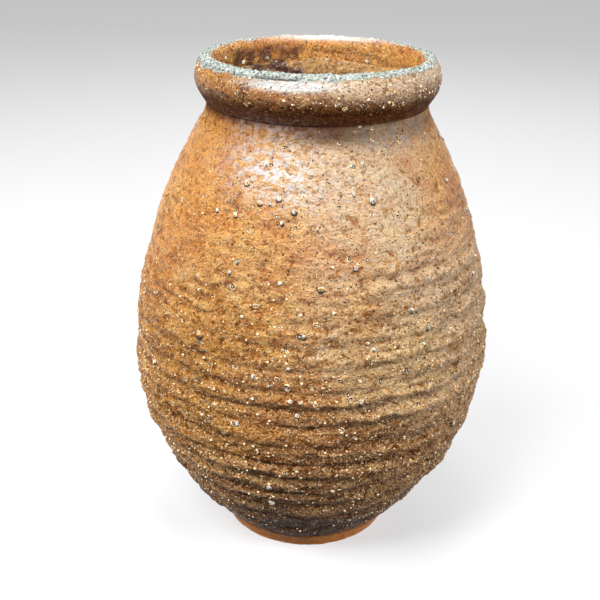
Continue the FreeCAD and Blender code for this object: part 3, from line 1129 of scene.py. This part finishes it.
# Dark pits, and the painted shadows under the large grains.
hollow_and_shadow = small_matter(
    "pit_and_shadow_dark", pin_dark, groove_brown, "hollow_tint", (0.4, 0.65), "pit_fine", pit_bump, 0.8)
bead = small_matter("pale_melt", pale_gold, ash_beige, "melt_tint", (0.42, 0.58), "pit_fine", pit_bump, 0.3)


def dress(node, slot, material, *parts, hidden=()):
    """Replace a node by a piece of these stretches of the skin, and of hidden rows: radius and height."""
    ring = Ring()
    for stretch in parts:
        ring.add_skin(stretch)
    for row in hidden:
        ring.add_hidden(*row)
    piece = ring.build(node + "_skin")
    piece.data.materials.append(material)
    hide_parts(node)
    return piece


def dress_base():
    """The floor slab: its foot, and its floor inside, each closed at the axis."""
    ring = Ring()
    ring.add_skin("foot")
    ring.add_skin("floor")
    below = (0, (0, 0, 0), False)
    above = (-1, (lean * slab_thickness, 0, slab_thickness), True)
    base = ring.build("base_slab_skin", poles=(below, above))
    base.data.materials.append(bare_clay())
    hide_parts("base_slab")


def shade_rim(piece):
    """The shaded underside of the rim is dry, with a ragged edge to the glaze."""
    piece.data.materials.append(dry)
    centres = np.empty(len(piece.data.polygons) * 3)
    piece.data.polygons.foreach_get("center", centres)
    centres = centres.reshape(-1, 3)
    stray = dry_stray * noise(centres, dry_lumps, dry_seed)
    radii = np.hypot(centres[:, 0] - lean * centres[:, 2], centres[:, 1])
    shaded = (radii > mouth_radius + collar_thickness / 2) & (centres[:, 2] + stray < dry_height)
    piece.data.polygons.foreach_set("material_index", shaded.astype(np.int32))


hidden_edge = [(mouth_radius, wall_height)]
dress("lower_wall", "ash_glazed_clay", dry, "lower", "inner_lower")
dress("belly_wall", "ash_glazed_clay", glazed, "belly", "inner_belly")
dress("shoulder_wall", "ash_glazed_clay", glossy, "shoulder", "inner_shoulder")
shade_rim(dress("rim_roll", "ash_glazed_clay", glossy, "roll"))
shade_rim(dress("neck_collar", "crusted_lip_clay", glossy, "neck", "lip", hidden=hidden_edge))
dress("neck_seam_coil", "rough_inner_clay", rough_inside, "seam_coil")
dress("floor_coil", "rough_inner_clay", rough_inside, "floor_coil")
dress_base()


# Grains and pits that stand out of the skin

chance = np.random.default_rng(scatter_seed)


def columns_at(azimuths):
    return np.round(azimuths / 360 * columns).astype(int) % columns


def on_wall(azimuths, heights):
    """Rows and columns of the skin at these places on the outside."""
    first = first_row["lower"]
    return first + np.searchsorted(profile[first:last_row["neck"], 1], heights), columns_at(azimuths)


def on_lip(azimuths, heights):
    """Rows and columns of the skin at these places on the inside of the lip."""
    return crest_row + np.searchsorted(-profile[crest_row:last_row["lip"], 1], -heights), columns_at(azimuths)


def strewn(count, first, last, density):
    """Rows and columns of random places on a stretch of the skin, as thick as density there."""
    share = (density * radius * np.ones((1, columns)))[first:last]
    share = (share / share.sum()).ravel()
    picks = chance.choice(len(share), count, p=share, replace=False)
    return first + picks // columns, picks % columns


def ball(level):
    """Points and triangles of a ball with radius 1. Level 0 is a rough crystal."""
    form = bmesh.new()
    if level == 0:
        bmesh.ops.create_uvsphere(form, u_segments=4, v_segments=2, radius=1)
    else:
        bmesh.ops.create_icosphere(form, subdivisions=level, radius=1)
    points = np.array([vert.co for vert in form.verts])
    faces = np.array([[vert.index for vert in face.verts] for face in form.faces])
    form.free()
    return points, faces


def blob_points(points, place, radii, flatness, rise, drop):
    """A ball's points for each place, turned and slimmed by chance, flat on the skin, sunk and dropped."""
    row, column = place
    count = len(row)
    normal = normals[row, column]
    level_way = np.cross((0, 0, 1), normal)
    level_way /= np.linalg.norm(level_way, axis=1)[:, None]
    up_way = np.cross(normal, level_way)
    turn = chance.uniform(0, 2 * math.pi, count)[:, None]
    long_way = level_way * np.cos(turn) + up_way * np.sin(turn)
    short_way = up_way * np.cos(turn) - level_way * np.sin(turn)
    slender = chance.uniform(0.65, 1.0, count)[:, None]
    bumpy = 1 + 0.25 * chance.uniform(-1, 1, (count, len(points), 1))
    shape = points[None] * bumpy * radii[:, None, None]
    middle = skin[row, column] + normal * (rise * radii)[:, None] - up_way * (drop * radii)[:, None]
    return (
        middle[:, None] + shape[..., :1] * long_way[:, None]
        + shape[..., 1:2] * (short_way * slender)[:, None] + shape[..., 2:] * (normal * flatness)[:, None])


def blobs(name, material, *sets):
    """One piece of many blobs. Each set gives places, radii, flatness, rise, drop and fineness."""
    all_points = []
    all_faces = []
    total = 0
    for *look, level in sets:
        points, faces = ball(level)
        placed = blob_points(points, *look)
        starts = np.arange(len(placed))[:, None, None] * len(points)
        all_points += placed.reshape(-1, 3).tolist()
        all_faces += (faces + starts + total).reshape(-1, 3).tolist()
        total = len(all_points)
    piece = new_object(name, all_points, all_faces)
    piece.data.polygons.foreach_set("use_smooth", [True] * len(piece.data.polygons))
    piece.data.materials.append(material)


def strew_grains():
    """Large grains with a painted shadow under each, small grains and pits: those seen on the front, and
    others by chance.
    """
    first = first_row["lower"]
    last = last_row["roll"]
    past_crest = crest_row + 3
    rim_grains = on("roll") * slope("rim_grains") * (0.3 + 1.7 * facing("rim_grains"))
    grown = 0.12 + rough_low + 0.7 * rough_right + rim_grains
    free = slope("above_foot") * (1 - masks["under"])
    unseen = arc("unseen", np.abs(turn_from(azimuth, 0))) * on("lower", "shoulder")
    front = on_wall(front_grains[:, 0], front_grains[:, 1])
    others = strewn(large_grain_count, first, last, unseen * free)
    other_radii = chance.uniform(*large_grain_radii, large_grain_count) * mm
    large = [np.concatenate(pair) for pair in zip(front, others)]
    large_radii = np.concatenate([front_grains[:, 2], other_radii])
    small = strewn(small_grain_count, first, past_crest, grown * free * (0.4 + masks["crest"]))
    small_chances = chance.uniform(0, 1, small_grain_count)
    small_radii = (small_grain_radius + small_grain_growth * small_chances ** 3) * mm
    seen_pits = on_wall(front_pits[:, 0], front_pits[:, 1])
    seen_radii = front_pits[:, 2]
    drips = on_lip(inner_grains[:, 0], inner_grains[:, 1])
    pits = strewn(pit_count, first, last, free * (0.35 + slope("pitted")))
    pit_radii = (pit_radius + pit_growth * chance.uniform(0, 1, pit_count) ** 2) * mm
    filled = pit_radii > filled_pit_radius
    filled_pits = [places[filled] for places in pits]
    blobs(
        "feldspar_grains", feldspar(),
        (large, large_radii, 0.68, 0.06, 0, 3),
        (seen_pits, seen_radii * 0.5, 0.6, 0.6, 0.4, 2),
        (drips, inner_grains[:, 2], 0.5, 0.2, 0, 2),
        (filled_pits, pit_radii[filled] * 0.62, 0.5, 0.55, 0.35, 1))
    blobs("feldspar_sand", sand, (small, small_radii, 0.7, 0.25, 0, 0))
    blobs(
        "pits_and_grain_shadows", hollow_and_shadow,
        # Painted shadow under each large grain: a dark disc sunk in the skin and dropped below it.
        (large, large_radii * 1.2, 0.12, 0.02, 0.4, 2),
        (seen_pits, seen_radii, 0.1, 0.34, 0, 2),
        (pits, pit_radii, 0.1, 0.34, 0, 2))
    blobs(
        "pit_melts", bead,
        (seen_pits, seen_radii * 1.35, 0.14, 0.06, 0.2, 2),
        (pits, pit_radii * 1.35, 0.14, 0.05, 0.2, 2))


strew_grains()


# Stage, light and camera

def seen_share(g):
    """1 for what the camera sees, straight, in a reflection or through glass, and 0 for light on the jar."""
    path = g.add("LightPath")
    rays = ("Is Camera Ray", "Is Glossy Ray", "Is Transmission Ray")
    return g.math("MAXIMUM", *(path.outputs[ray] for ray in rays))


def stage_floor():
    mesh = bpy.data.meshes.new("floor")
    corners = [(x * stage_size, y * stage_size, 0) for x, y in ((-1, -1), (1, -1), (1, 1), (-1, 1))]
    mesh.from_pydata(corners, [], [range(len(corners))])
    floor = link("floor", mesh)
    g = new_graph("pale_floor")
    seen = seen_share(g)
    matt = g.add("BsdfDiffuse", {"Color": g.mix(stage_grey, stage_pale, seen)})
    glow = g.add("Emission", {"Strength": g.times(seen, stage_glow)})
    both = g.add("AddShader", {0: matt.outputs[0], 1: glow.outputs[0]})
    g.add("OutputMaterial", {0: both.outputs[0]})
    mesh.materials.append(g.owner)


def add_lamp(name, place, size, power):
    lamp = bpy.data.lights.new(name, "AREA")
    lamp.shape = "DISK"
    lamp.size = size
    lamp.energy = power
    holder = link(name, lamp)
    holder.location = place
    holder.rotation_euler = (Vector(lamp_aim) - Vector(place)).to_track_quat("-Z", "Y").to_euler()


def light_stage():
    """The lamps, and a white world that is dim as light and pale to look at."""
    for name, lamp in lamps.items():
        add_lamp(name, *lamp)
    g = Graph(bpy.data.worlds.new("studio"))
    strength = g.spread(seen_share(g), 0, 1, world_light, world_seen)
    background = g.add("Background", {"Color": white, "Strength": strength})
    g.add("OutputWorld", {0: background.outputs[0]})
    bpy.context.scene.world = g.owner


def make_camera():
    data = bpy.data.cameras.new("camera")
    data.sensor_width = sensor_width
    data.lens = focal_pixels / image_size * sensor_width
    camera = link("camera", data)
    turn = Matrix.Rotation(math.pi / 2 - camera_pitch, 4, "X") @ Matrix.Rotation(camera_roll, 4, "Z")
    camera.matrix_world = Matrix.Translation(camera_place) @ turn
    bpy.context.scene.camera = camera


stage_floor()
light_stage()
make_camera()
bpy.context.scene.view_settings.view_transform = "Standard"
